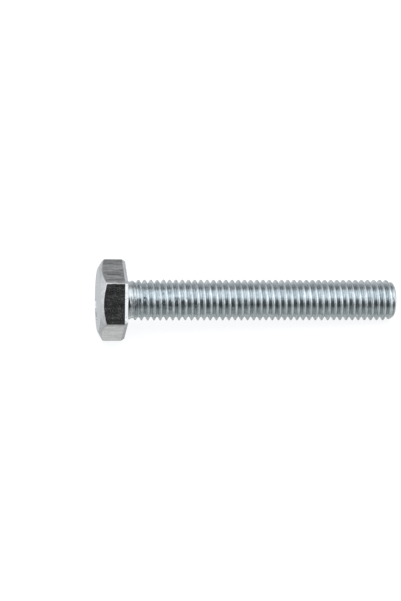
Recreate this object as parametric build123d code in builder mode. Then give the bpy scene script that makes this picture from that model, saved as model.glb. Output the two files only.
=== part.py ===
from build123d import *
from build123d.topology import SkipClean

import os
from math import cos, radians, sin, sqrt, tan

# Hexagon head screw M10 x 65, threaded up to the head: one forged and thread-rolled piece of steel.
# It lies along +X with the head behind the origin and the point in front. The origin is the centre
# of the bearing face under the head, and one pair of the head's flats faces up and down.

# Head, in millimetres
ACROSS_FLATS = 17.0
HEAD_HEIGHT = 6.4
CHAMFER_CIRCLE = 0.89 * ACROSS_FLATS
CHAMFER_ANGLE = 30.0
CHAMFER_RISE = (ACROSS_FLATS - CHAMFER_CIRCLE / 2) * tan(radians(CHAMFER_ANGLE))
RIM_ROUND = 0.3
BEVEL_ALONG = 0.8
BEVEL_ACROSS = 0.45

# Plain raised bars on top of the head, in place of the maker's letters
BAR_COUNT = 2
BAR_LENGTH = 2.4
BAR_WIDTH = 0.7
BAR_HEIGHT = 0.15
BAR_CIRCLE = 10.8
BAR_START = 228.0
BAR_SPAN = 32.0

# Thread, right-handed with a rounded root
LENGTH = 65.0
PITCH = 1.5
CREST_DIAMETER = 9.8
TRIANGLE_HEIGHT = PITCH * sqrt(3) / 2
ROOT_RADIUS = TRIANGLE_HEIGHT / 6
CREST_R = CREST_DIAMETER / 2
SHARP_R = CREST_R + TRIANGLE_HEIGHT / 8
ROOT_R = CREST_R - TRIANGLE_HEIGHT * 17 / 24
FLANK_END = 135
TURNS = 44
LANES = 8

# Where the thread fades out under the head, and the rolled-down point at the other end
BLANK_DIAMETER = 9.0
NECK_ROUND = 0.5
FADE_START = 0.6
FADE_LENGTH = 4.5
POINT_LENGTH = 2.0
POINT_DIAMETER = 8.7
POINT_CHAMFER = 0.5
END_DIAMETER = 7.8


def on_circle(radius, angle):
    """A point of the thread's cross-section, its angle in degrees from the crest."""
    return (radius * cos(radians(angle)), radius * sin(radians(angle)))


def flank_point(angle):
    """The straight 60 degree flank climbs evenly as it turns, which is a spiral in cross-section."""
    along = PITCH * abs(angle) / 360
    return on_circle(SHARP_R - along * sqrt(3), angle)


def root_point(angle):
    """The rounded root is an arc along the axis, half a pitch from the crest."""
    along = PITCH * (angle - 180) / 360
    return on_circle(ROOT_R + ROOT_RADIUS - sqrt(ROOT_RADIUS**2 - along**2), angle)


# One turn of the screw: its cross-section, twisted once around while it moves on by one pitch
with BuildPart() as thread_turn:
    with BuildSketch(Plane.YZ):
        with BuildLine():
            Spline([flank_point(angle) for angle in range(0, FLANK_END + 1, 9)])
            Spline([root_point(angle) for angle in range(FLANK_END, 361 - FLANK_END, 9)])
            Spline([flank_point(-angle) for angle in range(0, FLANK_END + 1, 9)])
        make_face()
    with BuildLine(mode=Mode.PRIVATE) as turn_axis:
        Line((0, 0, 0), (PITCH, 0, 0))
    with BuildLine(mode=Mode.PRIVATE) as turn_guide:
        Helix(pitch=PITCH, height=PITCH, radius=CREST_R, direction=(1, 0, 0))
    sweep(path=turn_axis.line, binormal=turn_guide.line.edges()[0])

# All the turns in a row
with BuildPart() as thread_turns:
    with Locations(*[(turn * PITCH, 0, 0) for turn in range(TURNS)]):
        add(thread_turn.part)

# The outside of the rolled thread: a cylinder over the crests, tapered down at both ends. Its wall
# is divided lengthwise into lanes, so each crest is a row of short cylinder faces.
with SkipClean():
    with BuildPart() as crest_envelope:
        for lane in range(LANES):
            with BuildSketch(Plane.XZ.rotated((lane * 360 / LANES, 0, 0))):
                with BuildLine():
                    Polyline(
                        (0, 0),
                        (0, BLANK_DIAMETER / 2),
                        (FADE_START, BLANK_DIAMETER / 2),
                        (FADE_LENGTH, CREST_R),
                        (LENGTH - POINT_LENGTH, CREST_R),
                        (LENGTH - POINT_CHAMFER, POINT_DIAMETER / 2),
                        (LENGTH, END_DIAMETER / 2),
                        (LENGTH, 0),
                        close=True,
                    )
                make_face()
            revolve(axis=Axis.X, revolution_arc=360 / LANES)

    with BuildPart() as threaded_shank:
        add(thread_turns.part)
        add(crest_envelope.part, mode=Mode.INTERSECT)

    # The whole bolt is one piece: the head, the blank under the run-out and the threaded shank
    with BuildPart() as hex_bolt:
        with BuildSketch(Plane.YZ):
            RegularPolygon(ACROSS_FLATS / 2, 6, major_radius=False)
        extrude(amount=-HEAD_HEIGHT)
        bearing_face = hex_bolt.faces().sort_by(Axis.X)[-1]
        chamfer(bearing_face.edges(), BEVEL_ACROSS, BEVEL_ALONG, reference=bearing_face)

        with BuildSketch(Plane.XZ):
            with BuildLine():
                Polyline(
                    (0, 0),
                    (-HEAD_HEIGHT, 0),
                    (-HEAD_HEIGHT, CHAMFER_CIRCLE / 2),
                    (-HEAD_HEIGHT + CHAMFER_RISE, ACROSS_FLATS),
                    (0, ACROSS_FLATS),
                    close=True,
                )
            make_face()
        revolve(axis=Axis.X, mode=Mode.INTERSECT)
        fillet(hex_bolt.edges().filter_by(GeomType.CIRCLE), RIM_ROUND)

        with BuildSketch(Plane(origin=(-HEAD_HEIGHT, 0, 0), x_dir=(0, -1, 0), z_dir=(-1, 0, 0))):
            with PolarLocations(BAR_CIRCLE / 2, BAR_COUNT, BAR_START, BAR_SPAN, endpoint=True):
                SlotOverall(BAR_LENGTH, BAR_WIDTH, rotation=90)
        extrude(amount=BAR_HEIGHT)

        with BuildSketch(Plane.XZ):
            with BuildLine():
                Polyline(
                    (0, BLANK_DIAMETER / 2 + NECK_ROUND),
                    (-1, BLANK_DIAMETER / 2 + NECK_ROUND),
                    (-1, 0),
                    (FADE_LENGTH, 0),
                    (FADE_LENGTH, ROOT_R),
                    (NECK_ROUND, BLANK_DIAMETER / 2),
                )
                RadiusArc((NECK_ROUND, BLANK_DIAMETER / 2), (0, BLANK_DIAMETER / 2 + NECK_ROUND), NECK_ROUND)
            make_face()
        revolve(axis=Axis.X)

        add(threaded_shank.part)

hex_bolt.part.label = "hex_bolt"
os.makedirs("parts", exist_ok=True)
export_step(hex_bolt.part, "parts/hex_bolt.step")
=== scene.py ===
import math

import bmesh
import bpy
from mathutils import Matrix, Vector, noise


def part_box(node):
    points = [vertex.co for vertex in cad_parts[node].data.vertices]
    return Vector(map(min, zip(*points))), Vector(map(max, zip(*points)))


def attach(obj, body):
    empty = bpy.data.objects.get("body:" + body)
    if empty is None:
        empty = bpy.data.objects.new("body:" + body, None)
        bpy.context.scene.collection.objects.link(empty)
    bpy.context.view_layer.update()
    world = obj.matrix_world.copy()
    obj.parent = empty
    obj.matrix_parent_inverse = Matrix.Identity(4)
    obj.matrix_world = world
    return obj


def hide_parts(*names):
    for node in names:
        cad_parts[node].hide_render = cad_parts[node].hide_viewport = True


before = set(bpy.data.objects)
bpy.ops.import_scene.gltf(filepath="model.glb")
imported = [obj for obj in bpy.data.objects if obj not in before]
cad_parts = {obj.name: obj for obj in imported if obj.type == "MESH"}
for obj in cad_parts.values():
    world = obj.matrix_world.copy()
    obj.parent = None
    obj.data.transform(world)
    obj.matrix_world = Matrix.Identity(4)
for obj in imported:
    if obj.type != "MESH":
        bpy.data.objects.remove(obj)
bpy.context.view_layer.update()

MM = 0.001
low, high = [Vector(corner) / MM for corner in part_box("hex_bolt")]

# ---------------------------------------------------------------- sizes, in millimetres
ACROSS_FLATS = high.z - low.z
LENGTH = high.x
BAR_HEIGHT = 0.15
HEAD_TOP = low.x + BAR_HEIGHT
HALF_FLATS = ACROSS_FLATS / 2
CHAMFER_R = 0.89 * HALF_FLATS
CHAMFER_SLOPE = math.tan(math.radians(30))
BEVEL_ALONG = 0.8
BEVEL_ACROSS = 0.45
CORNER_ROUND = 0.6          # between two flats
RIM_ROUND = 0.3             # round the top face
CHAMFER_EDGE_ROUND = 0.4    # where the chamfer meets the flats
BEVEL_EDGE_ROUND = 0.18
BEARING_EDGE_ROUND = 0.14
TOP_INNER_R = CHAMFER_R - 1.0

BAR_LENGTH = 2.4
BAR_WIDTH = 0.7
BAR_CIRCLE_R = 5.4
BAR_ANGLES = (228, 260)
BAR_SIDES = ((-0.2, 0.05), (0.01, 0.05), (0.05, 0.01), (0.1, -0.01), (0.135, -0.04), (0.148, -0.08),
             (BAR_HEIGHT, -0.14))     # height above the head and growth of the outline, foot to top

PITCH = 1.5
CREST_R = 4.9
TRIANGLE = PITCH * math.sqrt(3) / 2
ROOT_ROUND = TRIANGLE / 6
ROOT_R = CREST_R - TRIANGLE * 17 / 24
CREST_BLEND = 0.3
OUTSIDE_R = CREST_R + 0.05  # clear of the crests, so that it cuts them only at the ends
DEEP_R = ROOT_R - 0.1       # under the roots
BLANK_R = 4.5
NECK_ROUND = 0.5
HEAD_END = 0.6              # where the head's skin stops
NECK_END = 0.7              # and where the thread's begins
FADE_START = 0.6
FADE_END = 4.5
POINT_LENGTH = 2.0
POINT_R = 4.35
POINT_CHAMFER = 0.5
END_R = 3.9
END_ROUND = 0.25
FILL_START = 1.4            # before the end, where the rolling starts to fill the last valley
FILL_END = 0.5
FILL_R = 4.25
END_DISH = ((0.96, 0.01), (0.93, 0.03), (0.85, 0.02), (0.75, 0.09), (0.8, 0.06), (0.7, 0.03),
            (0.5, 0.01))    # for each ring inwards: how far it shrinks and how far it steps in

FLAT_RINGS = 14
TOP_RINGS = 14
FLAT_STOPS = (0.97, 0.85, 0.72, 0.6, 0.48, 0.36, 0.24, 0.12, 0.0)
TURN_STEPS = 72
PROFILE_STEPS = 20
BAR_END_STEPS = 10


def smooth_min(a, b, blend):
    """The lower of two heights, with a rounded corner where they cross."""
    mix = max(blend - abs(a - b), 0) / blend
    return min(a, b) - mix * mix * blend / 4


def smooth_max(a, b, blend):
    return -smooth_min(-a, -b, blend)


def ramp(x, x0, x1, y0, y1):
    """A straight ramp between two levels."""
    t = min(max((x - x0) / (x1 - x0), 0), 1)
    return y0 + (y1 - y0) * t


# ---------------------------------------------------------------- thread
def thread_profile(along):
    """Radius of the rolled thread at a distance along the axis from a crest."""
    along = abs((along + PITCH / 2) % PITCH - PITCH / 2)
    flank = CREST_R + TRIANGLE / 8 - along * math.sqrt(3)
    to_root = PITCH / 2 - along
    if to_root < PITCH / 8:
        return ROOT_R + ROOT_ROUND - math.sqrt(ROOT_ROUND ** 2 - to_root ** 2)
    return smooth_min(flank, CREST_R, CREST_BLEND)


def shank_radius(x, along):
    """The thread under an outside that fades at both ends, over what is left of the blank at the neck."""
    shoulder = LENGTH - POINT_CHAMFER
    outside = ramp(x, FADE_START, FADE_END, BLANK_R, OUTSIDE_R)
    blank = ramp(x, FADE_START, FADE_END, BLANK_R, DEEP_R)
    fill = ramp(x, LENGTH - FILL_START, LENGTH - FILL_END, DEEP_R, FILL_R)
    point = ramp(x, LENGTH - POINT_LENGTH, shoulder, OUTSIDE_R, POINT_R)
    end = ramp(x, shoulder, LENGTH, POINT_R, END_R) + max(shoulder - x, 0)
    r = smooth_min(thread_profile(along), outside, 0.06)
    r = smooth_max(r, blank, 0.08)
    r = smooth_max(r, fill, 0.08)
    r = smooth_min(r, point, 0.1)
    r = smooth_min(r, end, 0.15)
    turned_in = ramp(x, LENGTH - END_ROUND, LENGTH, 0, 1)
    return r - END_ROUND * (1 - math.sqrt(1 - turned_in ** 2))


def unevenness(x, r, turn):
    """How far the rolled thread wanders from its true radius: waves and nicks, more near the head."""
    y, z = r * math.cos(turn), r * math.sin(turn)
    rough = ramp(x, 8, 32, 3.5, 1.1)
    wave = noise.noise(Vector((x * 0.7, y * 0.55, z * 0.55)))
    ripple = noise.noise(Vector((x * 1.9 + 40, y * 1.3, z * 1.3)))
    nick = max(noise.noise(Vector((x * 2.3 + 80, y * 2.1, z * 2.1))) - 0.38, 0)
    return rough * (0.012 * wave + 0.014 * ripple - 0.2 * nick)


def thread_ribbon(bm):
    """One strip of the profile wound along the shank, cut off at the neck and closed at the point."""
    first, last = -PITCH, LENGTH + PITCH
    steps = int((last - first) / PITCH * TURN_STEPS)
    rings = []
    for k in range(steps + 1):
        turn = 2 * math.pi * k / TURN_STEPS
        row = []
        for m in range(PROFILE_STEPS):
            along = m * PITCH / PROFILE_STEPS
            x = first + PITCH * k / TURN_STEPS + along
            r = shank_radius(x, along)
            r = min(r + unevenness(x, r, turn) * ramp(x, FADE_START, FADE_START + 0.6, 0, 1), CREST_R)
            row.append(bm.verts.new((x, r * math.cos(turn), r * math.sin(turn))))
        rings.append(row)
    for k in range(steps):
        for m in range(PROFILE_STEPS - 1):
            bm.faces.new((rings[k][m], rings[k][m + 1], rings[k + 1][m + 1], rings[k + 1][m]))
        if k + TURN_STEPS + 1 <= steps:
            bm.faces.new((rings[k][-1], rings[k + TURN_STEPS][0],
                          rings[k + TURN_STEPS + 1][0], rings[k + 1][-1]))
    for x, side in ((NECK_END, -1), (LENGTH, 1)):
        everything = bm.verts[:] + bm.edges[:] + bm.faces[:]
        bmesh.ops.bisect_plane(bm, geom=everything, plane_co=(x, 0, 0), plane_no=(side, 0, 0),
                               clear_outer=True, dist=1e-5)
    dished_end(bm, open_edges(bm, LENGTH))


def dished_end(bm, rim):
    """The end of the point, drawn in a little towards its middle as the rolling leaves it."""
    for shrink, depth in END_DISH:
        made = bmesh.ops.extrude_edge_only(bm, edges=rim)["geom"]
        for vert in [item for item in made if isinstance(item, bmesh.types.BMVert)]:
            vert.co.x -= depth
            vert.co.yz = vert.co.yz * shrink
        rim = [item for item in made if isinstance(item, bmesh.types.BMEdge) and item.is_boundary]
    bmesh.ops.edgenet_fill(bm, edges=rim)


def open_edges(bm, x):
    """The unfinished edges that lie at one place along the axis."""
    return [e for e in bm.edges if e.is_boundary and all(abs(v.co.x - x) < 1e-4 for v in e.verts)]


# ---------------------------------------------------------------- head
def head_columns():
    """Angles round the head and the hexagon's radius there, close together at the rounded corners."""
    centre = (HALF_FLATS - CORNER_ROUND) / math.cos(math.radians(30))
    corner_y = CORNER_ROUND / 2
    corner_x = centre + CORNER_ROUND * math.cos(math.radians(30))
    tangent = math.atan2(corner_y, corner_x)
    flat_end = HALF_FLATS * math.tan(math.radians(30) - tangent)
    half = []
    for i in range(5):
        angle = tangent * i / 4
        across = math.sqrt(CORNER_ROUND ** 2 - (centre * math.sin(angle)) ** 2)
        half.append((angle, centre * math.cos(angle) + across))
    for reach in FLAT_STOPS:
        offset = flat_end * reach
        angle = math.radians(30) - math.atan2(offset, HALF_FLATS)
        half.append((angle, math.hypot(offset, HALF_FLATS)))
    columns = []
    for corner in range(6):
        base = math.radians(60 * corner)
        columns += [(base - a, r) for a, r in reversed(half[1:])]
        columns += [(base + a, r) for a, r in half[:-1]]
    return columns


def rounded(points, steps=4):
    """A polyline of (x, r, round) with each corner turned into an arc, held by a point either side."""
    out = [Vector(points[0][:2])]
    for i in range(1, len(points) - 1):
        here, size = Vector(points[i][:2]), points[i][2]
        back = Vector(points[i - 1][:2]) - here
        on = Vector(points[i + 1][:2]) - here
        half_turn = back.angle(on) / 2
        reach = min(size / math.tan(half_turn), back.length * 0.4, on.length * 0.4)
        radius = reach * math.tan(half_turn)
        back.normalize()
        on.normalize()
        middle = here + (back + on).normalized() * (radius / math.sin(half_turn))
        start, end = here + back * reach, here + on * reach
        out.append(start + back * min(reach, 0.06))
        a, b = start - middle, end - middle
        for s in range(steps + 1):
            t = s / steps
            out.append(middle + (a * (1 - t) + b * t).normalized() * radius)
        out.append(end + on * min(reach, 0.06))
    out.append(Vector(points[-1][:2]))
    return out


def divided(path, count):
    """The same line with its longest stretch along the axis split evenly, so the flats can be uneven."""
    i = max(range(len(path) - 1), key=lambda j: path[j + 1].x - path[j].x)
    extra = [path[i].lerp(path[i + 1], k / count) for k in range(1, count)]
    return path[:i + 1] + extra + path[i + 1:]


def worn(p, angle):
    """A point of the head's profile moved a little: the faint waves and dents of cold forging."""
    y, z = p.y * math.cos(angle), p.y * math.sin(angle)
    wave = noise.noise(Vector((p.x * 0.4, y * 0.35, z * 0.35)))
    dent = noise.noise(Vector((p.x * 1.6 + 20, y * 1.6, z * 1.6)))
    edge = ramp(p.y, HALF_FLATS + 0.35, HALF_FLATS + 0.9, 0, 1)
    loss = max(0.006 + 0.006 * wave + (0.006 + 0.045 * edge) * dent, 0)
    r = p.y - loss * ramp(p.y, 6.5, 7.6, 0, 1)
    return (p.x, r * math.cos(angle), r * math.sin(angle))


def head_skin(bm):
    """Top face, chamfer, flats, bevel, bearing face and neck: one profile for each column round it."""
    top = [Vector((HEAD_TOP, TOP_INNER_R * i / TOP_RINGS)) for i in range(1, TOP_RINGS)]
    neck = []
    for s in range(7):
        a = math.radians(15 * s)
        neck.append(Vector((NECK_ROUND - NECK_ROUND * math.cos(a),
                            BLANK_R + NECK_ROUND - NECK_ROUND * math.sin(a))))
    neck.append(Vector((HEAD_END, BLANK_R)))
    rings = []
    for angle, r_hex in head_columns():
        r_in = r_hex - BEVEL_ACROSS * r_hex / HALF_FLATS
        x_edge = HEAD_TOP + (r_hex - CHAMFER_R) * CHAMFER_SLOPE
        path = divided(rounded([
            (HEAD_TOP, TOP_INNER_R, 0),
            (HEAD_TOP, CHAMFER_R, RIM_ROUND),
            (x_edge, r_hex, CHAMFER_EDGE_ROUND),
            (-BEVEL_ALONG, r_hex, BEVEL_EDGE_ROUND),
            (0, r_in, BEARING_EDGE_ROUND),
            (0, BLANK_R + NECK_ROUND, 0),
        ]), FLAT_RINGS)
        rings.append([bm.verts.new(worn(p, angle)) for p in top + path[:-1] + neck])
    centre = bm.verts.new((HEAD_TOP, 0, 0))
    count = len(rings)
    for i in range(count):
        a, b = rings[i], rings[(i + 1) % count]
        bm.faces.new((centre, b[0], a[0]))
        for j in range(len(a) - 1):
            bm.faces.new((a[j], b[j], b[j + 1], a[j + 1]))


def raised_bar(bm, degrees):
    """A low pad with round ends and soft edges, its foot sunk a little into the top of the head."""
    turn = math.radians(degrees)
    out = Vector((0, -math.cos(turn), math.sin(turn)))
    along = Vector((0, math.sin(turn), math.cos(turn)))
    straight = (BAR_LENGTH - BAR_WIDTH) / 2
    rings = []
    for height, grow in BAR_SIDES:
        r = BAR_WIDTH / 2 + grow
        ring = []
        for side in (1, -1):
            for s in range(BAR_END_STEPS + 1):
                a = math.pi * s / BAR_END_STEPS - math.pi / 2
                spot = out * (BAR_CIRCLE_R + side * r * math.sin(a))
                spot += along * side * (straight + r * math.cos(a))
                ring.append(bm.verts.new(spot + Vector((HEAD_TOP - height, 0, 0))))
        rings.append(ring)
    count = len(rings[0])
    for lower, upper in zip(rings, rings[1:]):
        for i in range(count):
            bm.faces.new((lower[i], lower[(i + 1) % count], upper[(i + 1) % count], upper[i]))
    bm.faces.new(rings[0])
    bm.faces.new(rings[-1])


def mesh_object(bm, name):
    bmesh.ops.recalc_face_normals(bm, faces=bm.faces[:])
    bmesh.ops.scale(bm, vec=(MM, MM, MM), verts=bm.verts[:])
    mesh = bpy.data.meshes.new(name)
    bm.to_mesh(mesh)
    bm.free()
    piece = bpy.data.objects.new(name, mesh)
    bpy.context.collection.objects.link(piece)
    return piece


bm = bmesh.new()
thread_ribbon(bm)
head_skin(bm)
seam = open_edges(bm, HEAD_END) + open_edges(bm, NECK_END)
bmesh.ops.bridge_loops(bm, edges=seam)
bolt = mesh_object(bm, "bolt")

bm = bmesh.new()
for degrees in BAR_ANGLES:
    raised_bar(bm, degrees)
bars = mesh_object(bm, "bars")
union = bolt.modifiers.new("bars", "BOOLEAN")
union.operation = "UNION"
union.solver = "EXACT"
union.object = bars
finished = bpy.data.meshes.new_from_object(bolt.evaluated_get(bpy.context.evaluated_depsgraph_get()))
bolt.modifiers.clear()
bolt.data = finished
bpy.data.objects.remove(bars)
for polygon in finished.polygons:
    polygon.use_smooth = True
finished.set_sharp_from_angle(angle=math.radians(40))


# ---------------------------------------------------------------- node helpers
def node(tree, kind, values=(), **settings):
    """A new node with its settings and input values, which are numbers, colours or other sockets."""
    made = tree.nodes.new("ShaderNode" + kind)
    for name, value in settings.items():
        setattr(made, name, value)
    for key, value in dict(values).items():
        if isinstance(value, bpy.types.NodeSocket):
            tree.links.new(value, made.inputs[key])
        else:
            made.inputs[key].default_value = value
    return made


def maths(tree, operation, *values):
    return node(tree, "Math", enumerate(values), operation=operation).outputs[0]


def step(tree, value, start, end):
    """0 below start, 1 above end and a smooth rise between them."""
    return node(tree, "MapRange", {0: value, 1: start, 2: end},
                interpolation_type="SMOOTHSTEP").outputs[0]


def levels(tree, value, stops):
    """A colour ramp through (position, colour) stops."""
    ramp_node = node(tree, "ValToRGB", {0: value})
    elements = ramp_node.color_ramp.elements
    elements.remove(elements[0])
    for i, (position, colour) in enumerate(stops):
        stop = elements[0] if i == 0 else elements.new(position)
        stop.position = position
        stop.color = (*colour, 1)
    return ramp_node.outputs[0]


def blend_colour(tree, amount, first, second, mode="MIX"):
    mix = node(tree, "Mix", {0: amount, 6: first, 7: second}, data_type="RGBA", blend_type=mode)
    return mix.outputs[2]


def stretched_noise(tree, place, stretch, detail, seed):
    """Noise from 0 to 1 with its own size along each direction, in features per millimetre."""
    scaled = node(tree, "VectorMath", {0: place, 1: stretch}, operation="MULTIPLY").outputs[0]
    made = node(tree, "TexNoise", {"Vector": scaled, "W": seed, "Scale": 1.0, "Detail": detail},
                noise_dimensions="4D")
    return made.outputs["Fac"]


# ---------------------------------------------------------------- materials
FURROW_COLOUR = (0.24, 0.24, 0.245, 1)
NICK_COLOUR = (0.45, 0.46, 0.47, 1)
# Colour multiplied into the thread's valleys as painted shade.
ROOT_SHADE_TINT = (0.78, 0.82, 0.84, 1)


def axes(tree, place):
    """The distances along x, y and z, and the distance from the bolt's axis."""
    x, y, z = node(tree, "SeparateXYZ", {0: place}).outputs
    squares = maths(tree, "ADD", maths(tree, "MULTIPLY", y, y), maths(tree, "MULTIPLY", z, z))
    return x, y, z, maths(tree, "SQRT", squares)


def weighted(tree, first, *others):
    """The sum of (value, weight) pairs."""
    total = maths(tree, "MULTIPLY", *first)
    for pair in others:
        total = maths(tree, "ADD", total, maths(tree, "MULTIPLY", *pair))
    return total


def streaks(tree, x, first, second, third, strength):
    """Long narrow streaks from (distance, features per millimetre) pairs, weaker below strength 1."""
    scaled = [maths(tree, "MULTIPLY", *pair) for pair in (first, second, third)]
    lines = node(tree, "CombineXYZ", enumerate(scaled)).outputs[0]
    made = node(tree, "TexNoise", {"Vector": lines, "W": maths(tree, "MULTIPLY", x, 0.5),
                                   "Scale": 1.0, "Detail": 3.0}, noise_dimensions="4D").outputs["Fac"]
    swing = maths(tree, "MULTIPLY", strength, maths(tree, "SUBTRACT", made, 0.5))
    return maths(tree, "ADD", 0.5, swing)


def ring_streaks(tree, place, strength=1.0):
    """Streaks that run around the bolt, as forging and rolling leave them."""
    x, y, z, radius = axes(tree, place)
    return streaks(tree, x, (radius, 5.0), (y, 0.3), (z, 0.3), strength)


def faint_ring_streaks(tree, place):
    return ring_streaks(tree, place, 0.45)


def upper_side(tree, z):
    """1 on the flats that face up, down to a quarter on those that face down."""
    return node(tree, "MapRange", {0: z, 1: -6.0, 2: 7.5, 3: 0.25, 4: 1.0}).outputs[0]


def drawn_lines(tree, place):
    """Streaks along the bolt, where the trimming die went over the flats."""
    x, y, z, _ = axes(tree, place)
    return streaks(tree, x, (x, 0.16), (y, 2.6), (z, 2.6), upper_side(tree, z))


def painted_root_shade(tree, place, colour):
    """Painted shade: the bottom of the thread's valleys is made a little darker and bluer."""
    radius = axes(tree, place)[3]
    tinted = blend_colour(tree, 1.0, colour, ROOT_SHADE_TINT, "MULTIPLY")
    return blend_colour(tree, step(tree, radius, 4.0, 4.35), tinted, colour)


def die_marks(tree, place, colour):
    """Darker bands on the flats, and one furrow in the upper one."""
    x, y, z, _ = axes(tree, place)
    within = maths(tree, "MULTIPLY", maths(tree, "GREATER_THAN", z, 8.3),
                   maths(tree, "COMPARE", x, -3.2, 1.7))
    furrow = maths(tree, "MULTIPLY", maths(tree, "COMPARE", y, -1.45, 0.14), within)
    gaps = step(tree, stretched_noise(tree, place, (0.12, 1.1, 1.1), 1.0, 5.0), 0.42, 0.6)
    bands = maths(tree, "MULTIPLY", maths(tree, "SUBTRACT", 1.0, gaps), upper_side(tree, z))
    marks = maths(tree, "MAXIMUM", maths(tree, "MULTIPLY", bands, 0.5), furrow)
    return blend_colour(tree, marks, colour, FURROW_COLOUR)


def shear_nicks(tree, place, colour):
    """Short dark nicks across the sheared bevel."""
    clear = step(tree, stretched_noise(tree, place, (0.3, 2.8, 2.8), 1.0, 11.0), 0.34, 0.42)
    return blend_colour(tree, clear, NICK_COLOUR, colour)


def zinc(name, dark, light, rough, relief, streaks_of, marks_and_shade_of=None, pits=0.0):
    """Bright zinc over steel: tool streaks over soft blotches and a fine grain.

    rough is the least and most roughness, relief the depth in millimetres of the streaks and the
    grain, and pits the extra roughness where the grain is coarse.
    """
    material = bpy.data.materials.new(name)
    material.use_nodes = True
    tree = material.node_tree
    shader = tree.nodes["Principled BSDF"]
    shader.inputs["Metallic"].default_value = 1
    place = node(tree, "VectorMath", {0: node(tree, "TexCoord").outputs["Object"], "Scale": 1 / MM},
                 operation="SCALE").outputs[0]
    lines = streaks_of(tree, place)
    blotches = stretched_noise(tree, place, (0.8, 0.8, 0.8), 3.0, 3.0)
    grain = stretched_noise(tree, place, (3.6, 3.6, 3.6), 2.0, 7.0)
    tone = step(tree, weighted(tree, (lines, 0.45), (blotches, 0.3), (grain, 0.25)), 0.34, 0.66)
    colour = blend_colour(tree, tone, (*dark, 1), (*light, 1))
    # On the thread this paints shade into the valleys; on the head it adds die marks and nicks.
    if marks_and_shade_of:
        colour = marks_and_shade_of(tree, place, colour)
    tree.links.new(colour, shader.inputs["Base Color"])
    wear = weighted(tree, (blotches, 0.5), (grain, 0.5))
    gloss = node(tree, "MapRange", {0: wear, 1: 0.3, 2: 0.7, 3: rough[0], 4: rough[1]}).outputs[0]
    if pits:
        gloss = weighted(tree, (gloss, 1.0), (step(tree, grain, 0.5, 0.62), pits))
    tree.links.new(gloss, shader.inputs["Roughness"])
    height = weighted(tree, (lines, relief[0]), (grain, relief[1]))
    bump = node(tree, "Bump", {"Strength": 1.0, "Distance": MM, "Height": height})
    tree.links.new(bump.outputs[0], shader.inputs["Normal"])
    return material


thread_zinc = zinc("rolled_thread", (0.55, 0.6, 0.63), (0.95, 0.98, 1.0), (0.07, 0.18), (0.03, 0.016),
                   ring_streaks, painted_root_shade)
top_zinc = zinc("forged_top", (0.62, 0.63, 0.66), (0.92, 0.92, 0.95), (0.2, 0.34), (0.02, 0.022),
                faint_ring_streaks)
flat_zinc = zinc("trimmed_flats", (0.56, 0.56, 0.565), (0.9, 0.9, 0.9), (0.06, 0.24), (0.03, 0.02),
                 drawn_lines, die_marks, pits=0.07)
bevel_zinc = zinc("sheared_bevel", (0.7, 0.71, 0.73), (0.92, 0.92, 0.93), (0.12, 0.3), (0.02, 0.01),
                  ring_streaks, shear_nicks)
for material in (thread_zinc, top_zinc, flat_zinc, bevel_zinc):
    finished.materials.append(material)
THREAD, TOP, FLATS, BEVEL = range(4)
# From the bearing face on, it is all the thread's finish. Behind it, the way a face looks decides.
for polygon in finished.polygons:
    middle = polygon.center / MM
    if middle.x > -0.02:
        polygon.material_index = THREAD
    elif polygon.normal.x < -0.3:
        polygon.material_index = TOP
    elif polygon.normal.x > 0.2:
        polygon.material_index = BEVEL
    else:
        polygon.material_index = FLATS

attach(bolt, "root")
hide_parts("hex_bolt")

# ---------------------------------------------------------------- floor, light and camera
REST_HEAD = Vector((-BEVEL_ALONG, 0, -HALF_FLATS)) * MM
REST_POINT = Vector((LENGTH - POINT_LENGTH, 0, -CREST_R)) * MM


def ground(name, size):
    """A flat sheet through the two places where the bolt rests: the head's lower flat and the point."""
    bm = bmesh.new()
    bmesh.ops.create_grid(bm, x_segments=1, y_segments=1, size=size)
    mesh = bpy.data.meshes.new(name)
    bm.to_mesh(mesh)
    bm.free()
    made = bpy.data.objects.new(name, mesh)
    bpy.context.collection.objects.link(made)
    slope = math.atan2(REST_POINT.z - REST_HEAD.z, REST_POINT.x - REST_HEAD.x)
    made.rotation_euler = (0, -slope, 0)
    made.location = REST_HEAD
    return made


floor = ground("floor", 3.0)
floor_material = bpy.data.materials.new("floor")
floor_material.use_nodes = True
floor_shader = floor_material.node_tree.nodes["Principled BSDF"]
floor_shader.inputs["Base Color"].default_value = (0.1, 0.1, 0.1, 1)
floor_shader.inputs["Roughness"].default_value = 0.8
floor_shader.inputs["Specular IOR Level"].default_value = 0.0
floor_shader.inputs["Emission Color"].default_value = (0.98, 0.99, 1, 1)
floor_shader.inputs["Emission Strength"].default_value = 0.91
floor.data.materials.append(floor_material)
floor.visible_glossy = False

bpy.context.scene.view_settings.view_transform = "Standard"

# The room. Everything but a reflection sees it pale all over. The metal reflects a broad overhead
# softbox, a dark band along the front horizon, a grey floor, and bright walls at both ends. Each
# arc runs round the bolt: the middle one square to its axis, the others towards the head or point.
SKY_TINT = (0.97, 1.0, 1.015)
GROUND_TINT = (0.97, 1.0, 0.98)


def surround(tree, rise, stops):
    """Brightness by angle in degrees: 0 is the front horizon, 90 overhead, 180 behind, -90 below."""
    colours = []
    for angle, level in stops:
        tint = GROUND_TINT if -115 < angle < 0 else SKY_TINT
        colours.append(((angle + 180) / 360, tuple(level * c for c in tint)))
    return levels(tree, rise, colours)


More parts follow.
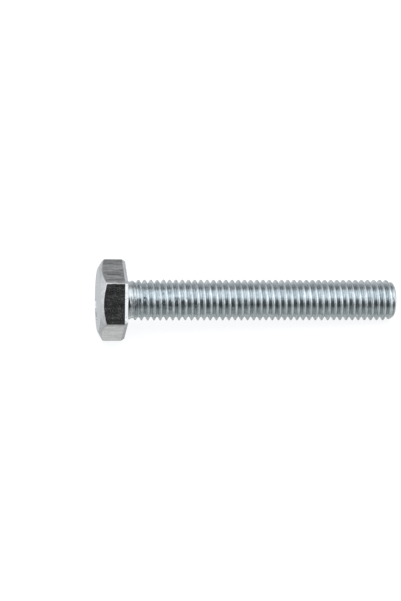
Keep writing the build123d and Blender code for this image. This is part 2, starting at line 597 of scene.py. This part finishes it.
world = bpy.data.worlds.new("studio")
bpy.context.scene.world = world
world.use_nodes = True
tree = world.node_tree
tree.nodes.clear()
direction = node(tree, "SeparateXYZ", {0: node(tree, "TexCoord").outputs["Generated"]})
toward = maths(tree, "MULTIPLY", direction.outputs["Y"], -1.0)
rise = maths(tree, "ARCTAN2", direction.outputs["Z"], toward)
rise = node(tree, "MapRange", {0: rise, 1: -math.pi, 2: math.pi}).outputs[0]
middle_arc = surround(tree, rise, (
    (-180, 0.56), (-160, 0.62), (-144, 0.7), (-125, 0.42), (-108, 0.42), (-99, 0.78), (-84, 0.46),
    (-62, 0.36), (-35, 0.34), (-14, 0.1), (-2, 0.025), (24, 0.03), (36, 0.07), (47, 0.42),
    (58, 0.92), (68, 1.08), (80, 1.06), (95, 0.95), (108, 0.66), (122, 0.27), (135, 0.25),
    (146, 0.385), (155, 0.44), (165, 0.5), (180, 0.56)))
head_side_arc = surround(tree, rise, (
    (-180, 0.55), (-144, 0.65), (-110, 0.42), (-90, 0.45), (-35, 0.5), (-5, 0.22), (15, 0.24),
    (30, 0.48), (45, 0.95), (60, 1.25), (92, 1.1), (110, 0.8), (125, 0.4), (145, 0.35), (165, 0.45),
    (180, 0.55)))
point_side_arc = surround(tree, rise, (
    (-180, 0.6), (-144, 0.65), (-110, 0.42), (-90, 0.45), (-35, 0.5), (-5, 0.22), (15, 0.26),
    (30, 0.55), (45, 0.98), (60, 1.25), (95, 1.2), (112, 0.9), (122, 0.5), (135, 0.35), (150, 0.6),
    (165, 0.6), (180, 0.6)))
head_end_arc = surround(tree, rise, (
    (-180, 0.85), (-90, 0.65), (-30, 0.75), (-10, 0.5), (2, 0.7), (10, 1.15), (18, 1.25), (28, 1.1),
    (40, 1.05), (60, 1.4), (100, 1.3), (140, 0.6), (180, 0.8)))
point_end_arc = surround(tree, rise, (
    (-180, 0.85), (-90, 0.65), (-30, 0.6), (-10, 0.45), (2, 0.75), (10, 1.2), (18, 1.35), (28, 1.3),
    (40, 1.2), (60, 1.4), (95, 1.3), (112, 0.9), (122, 0.6), (135, 0.45), (150, 0.55), (180, 0.8)))
across = maths(tree, "ABSOLUTE", direction.outputs["X"])
point_way = step(tree, direction.outputs["X"], -0.1, 0.1)
side_arc = blend_colour(tree, point_way, head_side_arc, point_side_arc)
end_arc = blend_colour(tree, point_way, head_end_arc, point_end_arc)
room = blend_colour(tree, step(tree, across, 0.22, 0.5), middle_arc, side_arc)
room = blend_colour(tree, step(tree, across, 0.66, 0.82), room, end_arc)
reflected = node(tree, "Background", {"Color": room})
plain = node(tree, "Background", {"Color": (0.97, 0.98, 0.99, 1)})
seen = node(tree, "MixShader", {0: node(tree, "LightPath").outputs["Is Glossy Ray"],
                                1: plain.outputs[0], 2: reflected.outputs[0]})
node(tree, "OutputWorld", {0: seen.outputs[0]})

MIDDLE = Vector((LENGTH / 2 * MM, 0, 0))
light = bpy.data.lights.new("overhead", "AREA")
light.shape = "DISK"
light.size = 0.9
light.energy = 8
lamp = bpy.data.objects.new("overhead", light)
bpy.context.collection.objects.link(lamp)
lamp.location = MIDDLE + Vector((0, -0.15, 0.7))
lamp.visible_glossy = False

CAMERA_TURN = math.radians(8.2)
CAMERA_LIFT = math.radians(36.2)
CAMERA_DISTANCE = 0.5
IMAGE_HEIGHT = 601
PIXELS_PER_METRE = 4200
AIM = Vector((18.15, 0, -0.12)) * MM
back = Vector((-math.sin(CAMERA_TURN),
               -math.cos(CAMERA_TURN) * math.cos(CAMERA_LIFT),
               math.cos(CAMERA_TURN) * math.sin(CAMERA_LIFT)))
right = (Vector((1, 0, 0)) - back * back.x).normalized()
camera_data = bpy.data.cameras.new("camera")
camera = bpy.data.objects.new("camera", camera_data)
bpy.context.collection.objects.link(camera)
camera.matrix_world = Matrix.Translation(AIM + back * CAMERA_DISTANCE) @ Matrix(
    (right, back.cross(right), back)).transposed().to_4x4()
camera_data.sensor_width = 36
camera_data.lens = 36 * CAMERA_DISTANCE / (IMAGE_HEIGHT / PIXELS_PER_METRE)
bpy.context.scene.camera = camera
